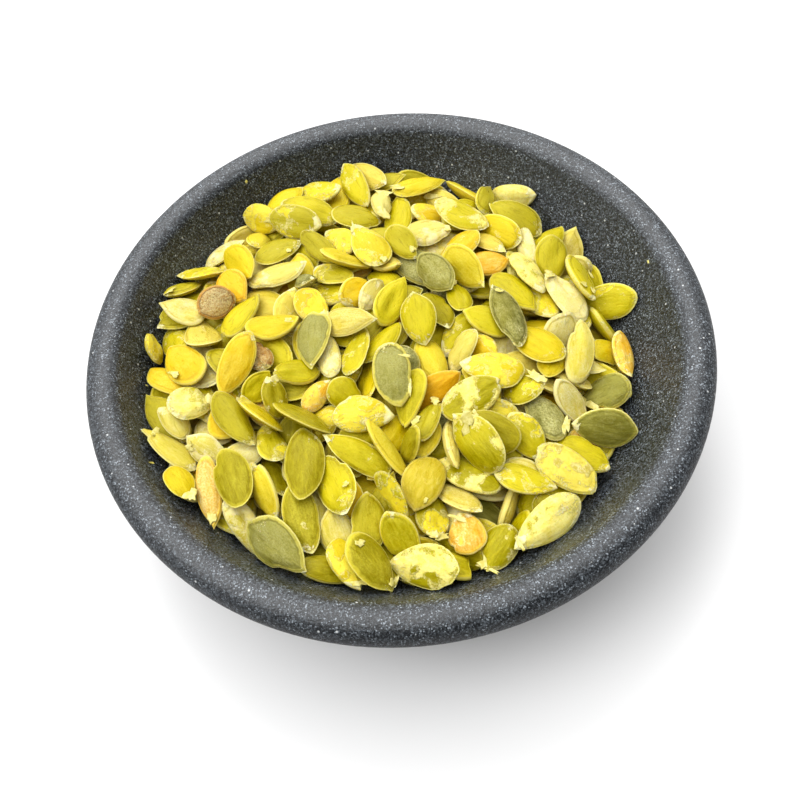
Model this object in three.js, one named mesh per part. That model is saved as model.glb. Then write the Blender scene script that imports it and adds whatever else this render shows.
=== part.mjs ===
// A small round snack bowl with a thick rounded lip, filled with a loose heap of shelled pumpkin seeds.
// Millimetres, +Z up. The origin is the centre of the foot, on the surface that the bowl stands on.
import * as THREE from 'three';

// Bowl
const RIM_RADIUS = 70; // outermost radius, at the lip
const BOWL_HEIGHT = 42;
const LIP_RADIUS = 4.3; // half the thickness of the rounded lip
const LIP_UNDERCUT = 68; // degrees below level to which the lip's arc runs on the outside
const WALL_SLOPE = 62; // degrees above level, of the inside just below the lip
const WALL_THICKNESS = 4.2;
const FLOOR_HEIGHT = 6.6; // top of the inside floor
const FLOOR_RADIUS = 22; // level part of the inside floor
const FOOT_RADIUS = 37;
const FOOT_WIDTH = 5.5; // width of the ring that the bowl stands on
const FOOT_RISE = 2.4; // height of the foot's outer side
const FOOT_TAPER = 0.6; // how much narrower the foot is at the bottom
const FOOT_RECESS = 1.6; // depth of the hollow inside the ring
const BOWL_SECTORS = 56;
const WALL_STEPS = 7; // facets along each curve of the wall
const LIP_STEPS = 10;

// Heap
const HEAP_GAP = 0.4; // clearance between the heap and the bowl
const HEAP_EDGE_HEIGHT = 31; // mean height of the heap's edge on the wall
const HEAP_EDGE_LEAN = 3.6; // how much higher the edge lies at the left than at the right
const HEAP_EDGE_RAGGED = 1.3; // depth of the steps that single seeds make in the edge
const HEAP_LAYER = 3.2; // thickness of the seeds at the very edge
const HEAP_DOME = 4.8; // rise of the middle over the edge
const EDGE_ROUNDING = 12; // power of the curve that rounds the heap's edge off
const RELIEF_FADE = 8; // power by which the relief fades out towards the edge
const TOP_RINGS = 25; // rings of facets over the top: the first has six points, and each next one six more
const UNDERSIDE_RINGS = 5; // rings of facets below, each with as many points as the edge

// Seeds, as they show in the heap's surface
const SEED_LENGTH = 13;
const SEED_WIDTH = 7.8;
const SEED_RELIEF = 1.5; // mean height of a seed's face above the hollows beside it
const SEED_TILT = 0.9; // how far a seed's ends and sides rise or dip at most
const SEED_ROUNDING = 0.3; // power that rounds a seed's face off towards its rim
const SEEDS_ON_TOP = 170;

const GOLDEN_ANGLE = Math.PI * (3 - Math.sqrt(5));
const radians = THREE.MathUtils.degToRad;

// Repeatable random numbers from 0 to 1.
function randomSource(seed) {
  let state = seed;
  return () => {
    state = (state * 16807) % 2147483647;
    return state / 2147483647;
  };
}

// The section of the inside, from the middle of the floor up to where the lip's arc begins:
// a level floor, then a curve that is level at the floor and has the wall's slope at the lip.
function insideSection() {
  const slope = radians(WALL_SLOPE);
  const lipFoot = new THREE.Vector2(
    RIM_RADIUS - LIP_RADIUS - LIP_RADIUS * Math.sin(slope),
    BOWL_HEIGHT - LIP_RADIUS + LIP_RADIUS * Math.cos(slope),
  );
  const bend = new THREE.Vector2(lipFoot.x - (lipFoot.y - FLOOR_HEIGHT) / Math.tan(slope), FLOOR_HEIGHT);
  const floorEdge = new THREE.Vector2(FLOOR_RADIUS, FLOOR_HEIGHT);
  const curve = new THREE.QuadraticBezierCurve(floorEdge, bend, lipFoot);
  return [new THREE.Vector2(0, FLOOR_HEIGHT), ...curve.getPoints(WALL_STEPS)];
}

// The lip: an arc from the inside wall over the top to the wall's outer face.
function lipSection() {
  const arc = new THREE.Path();
  const start = radians(90 + WALL_SLOPE);
  arc.absarc(RIM_RADIUS - LIP_RADIUS, BOWL_HEIGHT - LIP_RADIUS, LIP_RADIUS, start, radians(-LIP_UNDERCUT), true);
  return arc.getPoints(LIP_STEPS).slice(1);
}

// The outside: from under the lip down the wall to the foot, and the hollow inside the foot's ring.
function outsideSection() {
  const slope = radians(WALL_SLOPE);
  const inside = insideSection().at(-1);
  const under = new THREE.Vector2(
    inside.x + WALL_THICKNESS * Math.sin(slope) - LIP_RADIUS * Math.cos(slope),
    inside.y - WALL_THICKNESS * Math.cos(slope) - LIP_RADIUS * Math.sin(slope),
  );
  const footTop = new THREE.Vector2(FOOT_RADIUS, FOOT_RISE);
  const bend = new THREE.Vector2(under.x - (under.y - FOOT_RISE) / Math.tan(slope), FOOT_RISE);
  const wall = new THREE.QuadraticBezierCurve(under, bend, footTop);
  const innerRing = FOOT_RADIUS - FOOT_WIDTH;
  return [
    ...wall.getPoints(WALL_STEPS),
    new THREE.Vector2(FOOT_RADIUS - FOOT_TAPER, 0),
    new THREE.Vector2(innerRing, 0),
    new THREE.Vector2(innerRing - FOOT_RECESS, FOOT_RECESS),
    new THREE.Vector2(0, FOOT_RECESS),
  ];
}

function makeBowl() {
  const section = [...insideSection(), ...lipSection(), ...outsideSection()].reverse();
  const geometry = new THREE.LatheGeometry(section, BOWL_SECTORS);
  geometry.rotateX(Math.PI / 2);
  const stoneware = new THREE.MeshStandardMaterial({ color: 0x3b3f43, roughness: 0.45, metalness: 0 });
  const bowl = new THREE.Mesh(geometry, stoneware);
  bowl.name = 'bowl';
  return bowl;
}

// The inside section, moved into the hollow by the gap, as evenly spaced points.
function heapUnderside() {
  const section = insideSection();
  const moved = section.map((point, i) => {
    const before = section[Math.max(i - 1, 0)];
    const after = section[Math.min(i + 1, section.length - 1)];
    const along = after.clone().sub(before).normalize();
    const x = Math.max(point.x - along.y * HEAP_GAP, 0);
    return new THREE.Vector3(x, point.y + along.x * HEAP_GAP, 0);
  });
  const path = new THREE.CurvePath();
  for (let i = 1; i < moved.length; i++) path.add(new THREE.LineCurve3(moved[i - 1], moved[i]));
  return path.getSpacedPoints(120);
}

// The height of the heap's edge on the wall, by direction, with a step for each seed that reaches it.
function edgeHeight(angle) {
  const lean = -HEAP_EDGE_LEAN * Math.cos(angle);
  const steps = Math.sin(9 * angle + 0.7) + 0.7 * Math.sin(16 * angle + 2.1) + 0.5 * Math.sin(25 * angle);
  return HEAP_EDGE_HEIGHT + lean + (HEAP_EDGE_RAGGED * steps) / 2;
}

// Seeds that lie on the heap: a centre, a direction, a height and a tilt for each.
function seedsOnTop() {
  const random = randomSource(4);
  const reach = RIM_RADIUS - 2 * LIP_RADIUS - SEED_WIDTH;
  const either = (size) => size * (2 * random() - 1);
  return Array.from({ length: SEEDS_ON_TOP }, (_, i) => {
    const radius = reach * Math.sqrt((i + 0.5) / SEEDS_ON_TOP);
    const angle = i * GOLDEN_ANGLE;
    return {
      x: radius * Math.cos(angle) + either(SEED_WIDTH / 3),
      y: radius * Math.sin(angle) + either(SEED_WIDTH / 3),
      turn: Math.PI * random(),
      height: SEED_RELIEF * (0.6 + 0.8 * random()),
      rise: either(SEED_TILT),
      lean: either(SEED_TILT),
    };
  });
}

// The relief that the seeds make at a point: the highest of the tilted ovals that cover it.
function relief(seeds, x, y) {
  let highest = 0;
  for (const seed of seeds) {
    const dx = x - seed.x;
    const dy = y - seed.y;
    const along = (dx * Math.cos(seed.turn) + dy * Math.sin(seed.turn)) / (SEED_LENGTH / 2);
    const across = (dy * Math.cos(seed.turn) - dx * Math.sin(seed.turn)) / (SEED_WIDTH / 2);
    const inside = 1 - along * along - across * across;
    if (inside <= 0) continue;
    const face = seed.height + seed.rise * along + seed.lean * across;
    highest = Math.max(highest, face * inside ** SEED_ROUNDING);
  }
  return highest;
}

// The top of the heap on one radius: s is 0 in the middle and 1 at the edge.
function topHeight(seeds, s, edge, angle) {
  const middle = HEAP_EDGE_HEIGHT + (edge.y - HEAP_EDGE_HEIGHT) * s * s;
  const roundedEdge = HEAP_LAYER * Math.sqrt(1 - s ** EDGE_ROUNDING);
  const dome = HEAP_DOME * (1 - s * s);
  const radius = edge.x * s;
  const lumps = relief(seeds, radius * Math.cos(angle), radius * Math.sin(angle));
  return middle + roundedEdge + dome + lumps * (1 - s ** RELIEF_FADE);
}

// The heap is a closed skin: a disc of rings over the top, out to the edge, and rings below, back to the middle.
function makeHeap() {
  const underside = heapUnderside();
  const seeds = seedsOnTop();
  const edgeIndex = (angle) => underside.findIndex((point) => point.y >= edgeHeight(angle));
  const positions = [0, 0, topHeight(seeds, 0, new THREE.Vector2(0, HEAP_EDGE_HEIGHT), 0)];
  for (let ring = 1; ring <= TOP_RINGS; ring++) {
    for (const angle of directions(6 * ring)) {
      const s = ring / TOP_RINGS;
      const edge = underside[edgeIndex(angle)];
      const radius = edge.x * s;
      positions.push(radius * Math.cos(angle), radius * Math.sin(angle), topHeight(seeds, s, edge, angle));
    }
  }
  for (let ring = UNDERSIDE_RINGS - 1; ring > 0; ring--) {
    for (const angle of directions(6 * TOP_RINGS)) {
      const point = underside[Math.round((edgeIndex(angle) * ring) / UNDERSIDE_RINGS)];
      positions.push(point.x * Math.cos(angle), point.x * Math.sin(angle), point.y);
    }
  }
  positions.push(0, 0, underside[0].y);
  const geometry = new THREE.BufferGeometry();
  geometry.setAttribute('position', new THREE.Float32BufferAttribute(positions, 3));
  geometry.setIndex([...discFaces(TOP_RINGS), ...undersideFaces(positions.length / 3)]);
  const kernels = new THREE.MeshStandardMaterial({ color: 0xb3ab3c, roughness: 0.55, metalness: 0 });
  const heap = new THREE.Mesh(geometry, kernels);
  heap.name = 'seed_heap';
  return heap;
}

// Evenly spaced directions all round.
function directions(count) {
  return Array.from({ length: count }, (_, i) => (2 * Math.PI * i) / count);
}

// Triangles of a disc whose middle is point 0 and whose ring k has 6 k points, facing up.
function discFaces(rings) {
  const at = (ring, i) => (ring === 0 ? 0 : 1 + 3 * ring * (ring - 1) + (i % (6 * ring)));
  const index = [];
  for (let ring = 1; ring <= rings; ring++) {
    for (let side = 0; side < 6; side++) {
      for (let step = 0; step < ring; step++) {
        const outer = ring * side + step;
        const inner = (ring - 1) * side + step;
        index.push(at(ring - 1, inner), at(ring, outer), at(ring, outer + 1));
        if (step === ring - 1) continue;
        index.push(at(ring - 1, inner), at(ring, outer + 1), at(ring - 1, inner + 1));
      }
    }
  }
  return index;
}

// Triangles from the edge down the rings of the underside to its last point, facing down.
function undersideFaces(pointCount) {
  const sectors = 6 * TOP_RINGS;
  const edgeStart = 1 + 3 * TOP_RINGS * (TOP_RINGS - 1);
  const at = (ring, sector) => edgeStart + ring * sectors + (sector % sectors);
  const index = [];
  for (let sector = 0; sector < sectors; sector++) {
    for (let ring = 1; ring < UNDERSIDE_RINGS; ring++) {
      const [a, b] = [at(ring - 1, sector), at(ring - 1, sector + 1)];
      const [c, d] = [at(ring, sector + 1), at(ring, sector)];
      index.push(a, c, b, a, d, c);
    }
    index.push(at(UNDERSIDE_RINGS - 1, sector), pointCount - 1, at(UNDERSIDE_RINGS - 1, sector + 1));
  }
  return index;
}

const bowlOfSeeds = new THREE.Group();
bowlOfSeeds.add(makeBowl(), makeHeap());
export default bowlOfSeeds;
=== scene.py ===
"""A small speckled stoneware bowl with a thick rounded lip, filled with loose shelled pumpkin seeds.

The bowl is a turned section. The seeds fall into it in a rigid-body simulation, over a core of the heap,
and each one is then shaped on its own: a flat drop with a raised rim, bent, wrinkled, nicked or broken.
There is one piece for each kind of seed, and one for the torn bits of skin that cling to them.
Lengths are in millimetres until a mesh is made.
"""
import math

import bpy
import numpy as np
from mathutils import Matrix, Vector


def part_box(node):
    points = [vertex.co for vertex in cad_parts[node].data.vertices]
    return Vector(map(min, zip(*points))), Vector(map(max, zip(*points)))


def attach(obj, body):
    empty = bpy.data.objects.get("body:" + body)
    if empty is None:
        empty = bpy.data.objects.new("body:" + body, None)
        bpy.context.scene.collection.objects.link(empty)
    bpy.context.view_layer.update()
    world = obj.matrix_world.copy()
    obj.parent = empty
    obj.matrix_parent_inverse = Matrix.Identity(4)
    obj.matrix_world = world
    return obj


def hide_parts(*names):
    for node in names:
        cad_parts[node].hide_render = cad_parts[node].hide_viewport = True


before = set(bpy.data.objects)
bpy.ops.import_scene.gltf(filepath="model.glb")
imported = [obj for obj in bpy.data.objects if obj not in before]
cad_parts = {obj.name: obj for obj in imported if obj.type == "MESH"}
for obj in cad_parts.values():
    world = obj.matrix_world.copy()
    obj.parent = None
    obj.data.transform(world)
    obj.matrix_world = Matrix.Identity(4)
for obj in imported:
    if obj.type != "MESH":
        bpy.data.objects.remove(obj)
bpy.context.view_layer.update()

MM = 0.001  # metres

# ---------- sizes
bowl_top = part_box("bowl")[1]
RANDOM_SEED = 7

# Bowl
RIM_RADIUS = round(bowl_top.x / MM, 1)
BOWL_HEIGHT = round(bowl_top.z / MM, 1)
LIP_RADIUS = 4.3  # half the thickness of the rounded lip
LIP_UNDERCUT = 68  # degrees below level to which the lip's arc runs on the outside
WALL_SLOPE = 62  # degrees above level, of the inside just below the lip
WALL_THICKNESS = 4.2
FLOOR_HEIGHT = 6.6
FLOOR_RADIUS = 22
FOOT_RADIUS = 37
FOOT_WIDTH = 5.5
FOOT_RISE = 2.4
FOOT_TAPER = 0.6
FOOT_RECESS = 1.6
FOOT_ROUNDING = 0.5  # how far from a corner its rounding begins
HOLLOW_RADIUS = FOOT_RADIUS - FOOT_WIDTH - 6  # where the foot's hollow is level
POLE_GAP = 1.5  # radius of the last ring of points round the axis
BOWL_SECTORS = 180
BODY_SECTORS = 60  # of the bowl that the seeds fall into

# Heap
HEAP_EDGE_HEIGHT = 31  # mean height of the heap's edge on the wall
HEAP_EDGE_LEAN = 3.6  # how much higher the edge lies at -X than at +X
HEAP_DOME = 4.8  # rise of the middle over the edge
HEAP_LAYER = 3.2  # thickness of the seeds over that dome
HEAP_MARGIN = 6  # a seed whose middle comes nearer than this to the rim's radius is left out
CORE_DEPTH = 9.0  # how far the core lies below the heap's surface, which is the dome and this layer
CORE_GAP = 0.3  # clearance between the core and the bowl
CORE_RINGS_ABOVE = 24
CORE_RINGS_BELOW = 8
CORE_SECTORS = 96

# Seeds
SEED_LENGTH = 13.8
SEED_WIDTH = 0.57  # of the length
SEED_THICKNESS = 2.7
SEEDS_POURED = 200
# Painted light: seeds are painted paler towards the far side and darker towards the near side, as if lit
# more from the far side.
FAR_PAINTED_LIGHT = 1.2  # how much paler the seeds are at the far side than in the middle, in tone

# Ways round a seed, and the rings of its mesh: shares of the way from its middle to its edge
AROUND = 28
RINGS_ABOVE = (0.24, 0.45, 0.62, 0.75, 0.83, 0.87, 0.905, 0.935, 0.965, 0.988)
RINGS_BELOW = (0.97, 0.86, 0.66, 0.36)

# Torn bits of skin, in the same way
FLAKES = 64
FLAKE_AROUND = 14
FLAKE_RINGS = (0.5, 0.85)
SPECK_SIZE = 0.35  # size of the specks on the wall against the other bits
GRAIN_REACH = 500  # each seed takes its pattern from a place of its own, at most this far off

# Simulation
SIM_UNIT = 10.0  # millimetres to one unit of the simulation, in which bodies of about a unit are steady
SIM_GRAVITY = 19.6
BODY_AROUND = 12
POUR_FRAMES = 110
POUR_RADIUS = 43
POUR_SHIFT = (-4.5, 0.8)
POUR_START = 46  # height at which the first seed starts
POUR_RISE = 0.55  # how much higher each seed starts than the one before it
POUR_DAMPING = 0.15
LAY_FRAMES = 75
LAY_GAP = 4.0  # how far above the heap's dome the top seeds start
LAY_WIDTH = 0.94  # the top seeds' widths, as a share of those in ON_TOP
LAY_DAMPING = 0.35


# ---------- meshes
def link(name, mesh):
    """Puts a mesh or a camera into the scene as one object at the origin."""
    thing = bpy.data.objects.new(name, mesh)
    bpy.context.scene.collection.objects.link(thing)
    return thing


def make_mesh(name, points, *faces, scale=MM):
    """A mesh from an array of points and arrays of faces, each array with its own number of corners."""
    mesh = bpy.data.meshes.new(name)
    faces = [np.asarray(part, dtype=np.int32) for part in faces if len(part)]
    corners = np.concatenate([part.ravel() for part in faces])
    totals = np.concatenate([np.full(len(part), part.shape[1]) for part in faces])
    starts = np.concatenate([[0], np.cumsum(totals)[:-1]])
    mesh.vertices.add(len(points))
    mesh.vertices.foreach_set("co", (np.asarray(points) * scale).astype(np.float32).ravel())
    mesh.loops.add(len(corners))
    mesh.loops.foreach_set("vertex_index", corners)
    mesh.polygons.add(len(totals))
    mesh.polygons.foreach_set("loop_start", starts)
    mesh.polygons.foreach_set("loop_total", totals)
    mesh.polygons.foreach_set("use_smooth", np.ones(len(totals), dtype=bool))
    mesh.update(calc_edges=True)
    return mesh


def rings_to_faces(rings, around):
    """Quads between closed rings of points, and the two fans that close the poles.

    Point 0 is the first pole, ring k begins at 1 + k * around, and the last point is the other pole.
    """
    start = 1 + np.arange(rings)[:, None] * around
    here = start + np.arange(around)
    beside = start + np.roll(np.arange(around), -1)
    quads = np.stack([here[:-1], here[1:], beside[1:], beside[:-1]], -1).reshape(-1, 4)
    last = 1 + rings * around
    first_fan = np.stack([np.zeros(around, int), here[0], beside[0]], -1)
    last_fan = np.stack([np.full(around, last), beside[-1], here[-1]], -1)
    return quads, np.concatenate([first_fan, last_fan])


def make_copies(name, things, rings, around):
    """One mesh of many things that have the same rings: things by points by 3."""
    quads, fans = rings_to_faces(rings, around)
    shift = np.arange(len(things))[:, None, None] * things.shape[1]
    faces = (quads + shift).reshape(-1, 4), (fans + shift).reshape(-1, 3)
    return make_mesh(name, things.reshape(-1, 3), *faces)


def give(mesh, name, values):
    """Stores three or four numbers for each point as an attribute that materials read."""
    kind, field = {3: ("FLOAT_VECTOR", "vector"), 4: ("FLOAT_COLOR", "color")}[values.shape[-1]]
    attribute = mesh.attributes.new(name, kind, "POINT")
    attribute.data.foreach_set(field, values.astype(np.float32).ravel())


def add_piece(name, mesh, finish, node):
    """Makes a mesh one piece of the visual model, in place of a CAD node."""
    mesh.materials.append(finish)
    piece = link(name, mesh)
    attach(piece, "root")
    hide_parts(node)


# ---------- bowl
def bezier(start, control, end, steps):
    """Points of a quadratic curve, without its start."""
    s = np.linspace(0, 1, steps + 1)[1:, None]
    return (1 - s) ** 2 * np.array(start) + 2 * s * (1 - s) * np.array(control) + s**2 * np.array(end)


def arc(centre, radius, first, last, steps):
    """Points of an arc between two angles in degrees, with both its ends."""
    angle = np.radians(np.linspace(first, last, steps + 1))
    return np.stack([centre[0] + radius * np.cos(angle), centre[1] + radius * np.sin(angle)], 1)


def rounded(corners, radius, steps=4):
    """A line of corners, each one but the ends rounded off by a short quadratic curve."""
    points = [corners[:1]]
    for before, corner, after in zip(corners, corners[1:], corners[2:]):
        enter = corner + (before - corner) / np.linalg.norm(before - corner) * radius
        leave = corner + (after - corner) / np.linalg.norm(after - corner) * radius
        points += [enter[None], bezier(enter, corner, leave, steps)]
    return np.concatenate(points + [corners[-1:]])


def inside_section():
    """From the lip's arc down the inside wall to the edge of the level floor: (radius, height) points."""
    slope = math.radians(WALL_SLOPE)
    lip = np.array([RIM_RADIUS - LIP_RADIUS, BOWL_HEIGHT - LIP_RADIUS])
    top = lip + LIP_RADIUS * np.array([-math.sin(slope), math.cos(slope)])
    bend = [top[0] - (top[1] - FLOOR_HEIGHT) / math.tan(slope), FLOOR_HEIGHT]
    return np.concatenate([top[None], bezier(top, bend, [FLOOR_RADIUS, FLOOR_HEIGHT], 40)])


def bowl_section():
    """The whole section, from the middle of the floor inside, over the lip and down to the foot's hollow.

    The wall is a quadratic curve on each side, the lip is an arc, and the foot is a ring with round edges.
    """
    slope = math.radians(WALL_SLOPE)
    inside = inside_section()
    lip_middle = [RIM_RADIUS - LIP_RADIUS, BOWL_HEIGHT - LIP_RADIUS]
    lip = arc(lip_middle, LIP_RADIUS, 90 + WALL_SLOPE, -LIP_UNDERCUT, 44)
    across = np.array([math.sin(slope), -math.cos(slope)])
    under = inside[0] + WALL_THICKNESS * across - LIP_RADIUS * np.array([math.cos(slope), math.sin(slope)])
    foot_top = np.array([FOOT_RADIUS, FOOT_RISE])
    bend = [under[0] - (under[1] - FOOT_RISE) / math.tan(slope), FOOT_RISE]
    wall = bezier(under, bend, foot_top, 30)
    inner_ring = FOOT_RADIUS - FOOT_WIDTH
    foot = np.array([
        foot_top,
        [FOOT_RADIUS - FOOT_TAPER, 0],
        [inner_ring, 0],
        [inner_ring - FOOT_RECESS, FOOT_RECESS],
        [HOLLOW_RADIUS, FOOT_RECESS],
    ])
    foot = rounded(foot, FOOT_ROUNDING)
    floor = np.linspace([POLE_GAP, FLOOR_HEIGHT], [FLOOR_RADIUS, FLOOR_HEIGHT], 6)[:-1]
    hollow = np.linspace([HOLLOW_RADIUS, FOOT_RECESS], [POLE_GAP, FOOT_RECESS], 6)[1:]
    return np.concatenate([floor, inside[::-1], lip[1:], under[None], wall[:-1], foot, hollow])


def turn(section, sectors):
    """A section carried round the Z axis, closed at both ends by a point on the axis.

    Gives the points and then the faces, as make_mesh takes them.
    """
    angle = np.linspace(0, 2 * np.pi, sectors, endpoint=False)
    radius, height = section[:, 0, None], section[:, 1, None] * np.ones(sectors)
    rings = np.stack([radius * np.cos(angle), radius * np.sin(angle), height], -1).reshape(-1, 3)
    points = np.concatenate([[[0, 0, section[0, 1]]], rings, [[0, 0, section[-1, 1]]]])
    return points, *rings_to_faces(len(section), sectors)


def make_bowl():
    """The bowl's section turned into one closed piece."""
    mesh = make_mesh("stoneware_bowl", *turn(bowl_section(), BOWL_SECTORS))
    add_piece("stoneware_bowl", mesh, stoneware_finish(), "bowl")


# ---------- core
def heap_edge(angle):
    """Height of the heap's edge on the wall, by direction."""
    return HEAP_EDGE_HEIGHT - HEAP_EDGE_LEAN * np.cos(angle)


def wall_radius(height, clearance):
    """Inside radius of the bowl at a height, less a clearance."""
    section = inside_section()[::-1]
    return np.interp(height, section[:, 1], section[:, 0]) - clearance


def heap_height(share, angle):
    """Height of the heap's dome over its edge, by the share of the way out and the direction."""
    return HEAP_EDGE_HEIGHT + (heap_edge(angle) - HEAP_EDGE_HEIGHT) * share**2 + HEAP_DOME * (1 - share**2)


def core_shape():
    """The core's closed skin: the heap's surface lowered by a depth, then the bowl's inside back down.

    Gives the points and then the faces, as make_mesh takes them.
    """
    angle = np.linspace(0, 2 * np.pi, CORE_SECTORS, endpoint=False)
    edge = heap_edge(angle) + HEAP_LAYER - CORE_DEPTH
    reach = wall_radius(edge, CORE_GAP)
    share = np.linspace(0, 1, CORE_RINGS_ABOVE + 1)[1:, None]
    above = np.stack([
        share * reach * np.cos(angle),
        share * reach * np.sin(angle),
        heap_height(share, angle) + HEAP_LAYER - CORE_DEPTH,
    ], -1)
    down = np.linspace(1, 0, CORE_RINGS_BELOW + 2)[1:-1, None]
    height = FLOOR_HEIGHT + CORE_GAP + (edge - FLOOR_HEIGHT - CORE_GAP) * down**1.6
    radius = np.minimum(wall_radius(height, CORE_GAP), reach * down**0.45)
    below = np.stack([radius * np.cos(angle), radius * np.sin(angle), height], -1)
    top = [[0, 0, HEAP_EDGE_HEIGHT + HEAP_DOME + HEAP_LAYER - CORE_DEPTH]]
    bottom = [[0, 0, FLOOR_HEIGHT + CORE_GAP]]
    points = np.concatenate([top, above.reshape(-1, 3), below.reshape(-1, 3), bottom])
    return points, *rings_to_faces(CORE_RINGS_ABOVE + CORE_RINGS_BELOW, CORE_SECTORS)


# ---------- seeds
def outline(angle, length, width, taper=0.16, sharp=0.7, blunt=0.15):
    """Edge of a seed seen from above: an oval with one end drawn to a point at +X.

    x is half the length times the cosine. y is half the width times the sine, raised to a power that grows
    from 1 in the middle to 1 + sharp at the point and 1 + blunt at the round end, and tapered to the point.
    """
    cosine, sine = np.cos(angle), np.sin(angle)
    power = 1 + sharp * ((1 + cosine) / 2) ** 3 + blunt * ((1 - cosine) / 2) ** 3
    return length / 2 * cosine, width / 2 * np.sign(sine) * np.abs(sine) ** power * (1 - taper * cosine)


def draw_sizes(random, count):
    """Length, width and thickness of each seed."""
    length = np.clip(random.normal(SEED_LENGTH, 1.5, count), 9.8, 16.8)
    width = length * np.clip(random.normal(SEED_WIDTH, 0.05, count), 0.47, 0.7)
    thickness = np.clip(random.normal(SEED_THICKNESS, 0.25, count), 1.8, 3.1)
    return np.stack([length, width, thickness], 1)


def simple_body(size):
    """A seed's shape in the simulation: the hull of its outline, drawn in and up to its faces."""
    angle = np.linspace(0, 2 * np.pi, BODY_AROUND, endpoint=False)
    x, y = outline(angle, size[0], size[1])
    levels = ((1.0, 0.0), (0.93, 0.4), (0.93, -0.4), (0.62, 0.88), (0.62, -0.88), (0.25, 1.0), (0.25, -1.0))
    rings = [np.stack([x * r, y * r, np.full(BODY_AROUND, z * size[2] / 2)], 1) for r, z in levels]
    return np.concatenate(rings)


def body_object(size, place, scale):
    """An object with a seed's simple shape, where the seed starts."""
    mesh = bpy.data.meshes.new("body")
    mesh.from_pydata((simple_body(size) * scale).tolist(), [], [])
    thing = link("body", mesh)
    matrix = Matrix(place.tolist())
    matrix.translation *= scale
    thing.matrix_world = matrix
    return thing


def add_bodies(things, kind, shape, damping):
    """Makes objects rigid bodies."""
    bpy.ops.object.select_all(action="DESELECT")
    for thing in things:
        thing.select_set(True)
    bpy.context.view_layer.objects.active = things[0]
    bpy.ops.rigidbody.objects_add(type=kind)
    for thing in things:
        body = thing.rigid_body
        body.collision_shape = shape
        body.friction = 0.6
        body.restitution = 0
        body.mass = 0.1
        body.use_margin = True
        body.collision_margin = 0.012
        body.linear_damping = damping
        body.angular_damping = 2 * damping


def settle(fixed, resting, sizes, places, frames, damping):
    """Lets seeds fall and come to rest. Gives each one's place and turn as a 4 by 4 matrix.

    fixed holds (points, faces...) of what doesn't move, resting the sizes and matrices of seeds that lie
    still, and places one starting matrix for each seed that falls.
    """
    scene = bpy.context.scene
    scale = 1 / SIM_UNIT
    bpy.ops.rigidbody.world_add()
    world = scene.rigidbody_world
    world.substeps_per_frame = 6
    world.solver_iterations = 12
    world.point_cache.frame_end = frames
    kept_gravity = scene.gravity.copy()
    scene.gravity = (0, 0, -SIM_GRAVITY)
    still = [link("still", make_mesh("still", *part, scale=scale)) for part in fixed]
    add_bodies(still, "PASSIVE", "MESH", 0)
    lying = [body_object(size, place, scale) for size, place in zip(*resting)]
    if lying:
        add_bodies(lying, "PASSIVE", "CONVEX_HULL", 0)
    falling = [body_object(size, place, scale) for size, place in zip(sizes, places)]
    add_bodies(falling, "ACTIVE", "CONVEX_HULL", damping)
    for number in range(1, frames + 1):
        scene.frame_set(number)
    deps = bpy.context.evaluated_depsgraph_get()
    rest = np.array([np.array(thing.evaluated_get(deps).matrix_world) for thing in falling])
    rest[:, :3, 3] *= SIM_UNIT
    bpy.ops.rigidbody.world_remove()
    for thing in still + lying + falling:
        mesh = thing.data
        bpy.data.objects.remove(thing)
        bpy.data.meshes.remove(mesh)
    scene.frame_set(1)
    scene.gravity = kept_gravity
    return rest


def turned(yaw, pitch, roll):
    """Rotation matrices, one for each seed: roll about its length, pitch of its point, then yaw."""
    cy, sy, cp, sp, cr, sr = (f(a) for a in (yaw, pitch, roll) for f in (np.cos, np.sin))
    rows = [
        [cy * cp, cy * sp * sr - sy * cr, cy * sp * cr + sy * sr],
        [sy * cp, sy * sp * sr + cy * cr, sy * sp * cr - cy * sr],
        [-sp, cp * sr, cp * cr],
    ]
    return np.moveaxis(np.array(rows), -1, 0)


def pour(random, fixed, sizes):
    """Seeds that fall one after the other over the whole heap, a few more of them at its higher side."""
    count = len(sizes)
    places = np.tile(np.eye(4), (count, 1, 1))
    radius = POUR_RADIUS * np.sqrt(random.random(count))
    angle = 2 * np.pi * random.random(count)
    places[:, 0, 3] = radius * np.cos(angle) + POUR_SHIFT[0]
    places[:, 1, 3] = radius * np.sin(angle) + POUR_SHIFT[1]
    places[:, 2, 3] = POUR_START + POUR_RISE * np.arange(count)
    yaw = 2 * np.pi * random.random(count)
    pitch = 0.5 * random.normal(size=count)
    roll = 2 * np.pi * random.random(count)
    places[:, :3, :3] = turned(yaw, pitch, roll)
    return settle(fixed, ([], []), sizes, places, POUR_FRAMES, POUR_DAMPING)


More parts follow.
